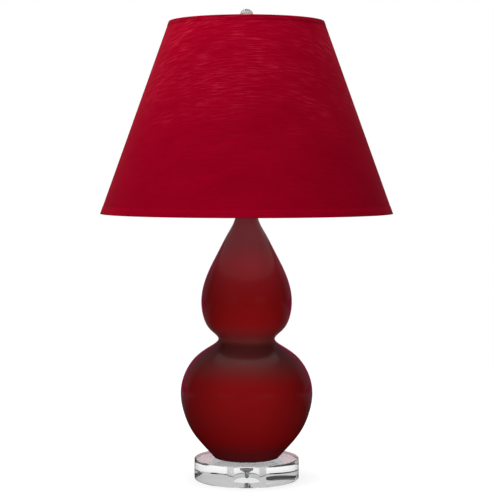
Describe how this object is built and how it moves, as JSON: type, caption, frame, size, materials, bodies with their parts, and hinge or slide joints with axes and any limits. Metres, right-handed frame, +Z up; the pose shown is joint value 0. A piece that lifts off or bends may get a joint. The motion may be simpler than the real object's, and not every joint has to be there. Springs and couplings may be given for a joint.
{
  "type": "table lamp",
  "caption": "Table lamp with a glossy double gourd ceramic body on a clear disc base, a turn-switch socket, a lift-off harp and a tapered round fabric shade with a ball finial.",
  "frame": {"origin": "centre of the clear base's underside, on the surface the lamp stands on", "axes": "+Z up along the lamp pipe, -Y towards the front with the switch knob, +X to the right"},
  "size_m": [0.3564, 0.4212, 0.573],
  "materials": {
    "clear_acrylic": "polished clear",
    "clear_vinyl": "satin",
    "oxblood_glaze": "gloss",
    "zinc_steel": "satin",
    "polished_nickel": "polished",
    "nickel_wire": "satin",
    "fibre_sleeve": "matt",
    "black_phenolic": "semi-gloss",
    "brass": "satin",
    "cord_jacket": "glossy, silver wires show through",
    "lead_jacket": "glossy",
    "tie_strap": "matt",
    "plug_vinyl": "satin",
    "frosted_glass": "frosted",
    "bulb_aluminium": "satin",
    "black_vitrite": "gloss",
    "solder": "matt",
    "clear_glass": "clear",
    "filament_wire": "satin",
    "crimson_cotton": "woven",
    "crimson_cotton_hem": "woven, folded hem",
    "white_styrene": "satin",
    "shade_wire": "satin"
  },
  "bodies": {
    "base": {"base_block": "clear_acrylic", "foot_gasket": "clear_vinyl", "gourd_body": "oxblood_glaze", "base_lock_washer": "zinc_steel", "base_nut": "zinc_steel", "lamp_pipe": "zinc_steel", "vase_cap": "polished_nickel", "check_ring": "polished_nickel", "neck_spacer": "polished_nickel", "harp_saddle": "nickel_wire", "socket_cap": "polished_nickel", "cap_set_screw": "zinc_steel", "socket_shell": "polished_nickel", "shell_liner": "fibre_sleeve", "socket_insulator": "black_phenolic", "screw_shell": "brass", "centre_contact": "brass", "terminal_screws": "brass", "pipe_cord": "cord_jacket", "socket_leads": "lead_jacket", "cord_tube": "cord_jacket", "cord_coil": "cord_jacket", "cord_tail": "cord_jacket", "cord_tie": "tie_strap", "plug_body": "plug_vinyl", "plug_blades": "brass"},
    "switch": {"switch_stem": "brass", "switch_knob": "black_phenolic"},
    "bulb": {"bulb_glass": "frosted_glass", "bulb_cap": "bulb_aluminium", "bulb_insulator": "black_vitrite", "bulb_tip": "solder", "bulb_stem": "clear_glass", "bulb_filament": "filament_wire"},
    "harp": {"harp": "nickel_wire"},
    "ferrule_left": {"harp_ferrule_left": "polished_nickel"},
    "ferrule_right": {"harp_ferrule_right": "polished_nickel"},
    "swivel_post": {"harp_post": "polished_nickel"},
    "shade": {"shade_fabric": "crimson_cotton", "shade_liner": "white_styrene", "shade_top_trim": "crimson_cotton_hem", "shade_bottom_trim": "crimson_cotton_hem", "shade_seam": "crimson_cotton_hem", "shade_top_ring": "shade_wire", "shade_bottom_ring": "shade_wire", "spider_hub": "shade_wire", "spider_arms": "shade_wire"},
    "finial": {"finial_base": "polished_nickel", "finial_ball": "clear_acrylic"}
  },
  "joints": [
    {"name": "switch_turn", "type": "hinge", "parent": "base", "child": "switch", "pos_m": [0, -0.0197, 0.3633], "axis": [0, -1, 0], "continuous": true},
    {"name": "bulb_unscrew", "type": "hinge", "parent": "base", "child": "bulb", "pos_m": [0, 0, 0.38], "axis": [0, 0, 1], "continuous": true},
    {"name": "harp_lift", "type": "slide", "parent": "base", "child": "harp", "axis": [0, 0, 1], "range_m": [0, 0.025]},
    {"name": "ferrule_left_lift", "type": "slide", "parent": "harp", "child": "ferrule_left", "axis": [0, 0, 1], "range_m": [0, 0.0095]},
    {"name": "ferrule_right_lift", "type": "slide", "parent": "harp", "child": "ferrule_right", "axis": [0, 0, 1], "range_m": [0, 0.0095]},
    {"name": "post_swivel", "type": "hinge", "parent": "harp", "child": "swivel_post", "pos_m": [0, 0, 0.545], "axis": [0, 0, 1], "continuous": true},
    {"name": "shade_lift", "type": "slide", "parent": "swivel_post", "child": "shade", "axis": [0, 0, 1], "range_m": [0, 0.03]},
    {"name": "finial_unscrew", "type": "hinge", "parent": "shade", "child": "finial", "pos_m": [0, 0, 0.552], "axis": [0, 0, 1], "continuous": true}
  ]
}
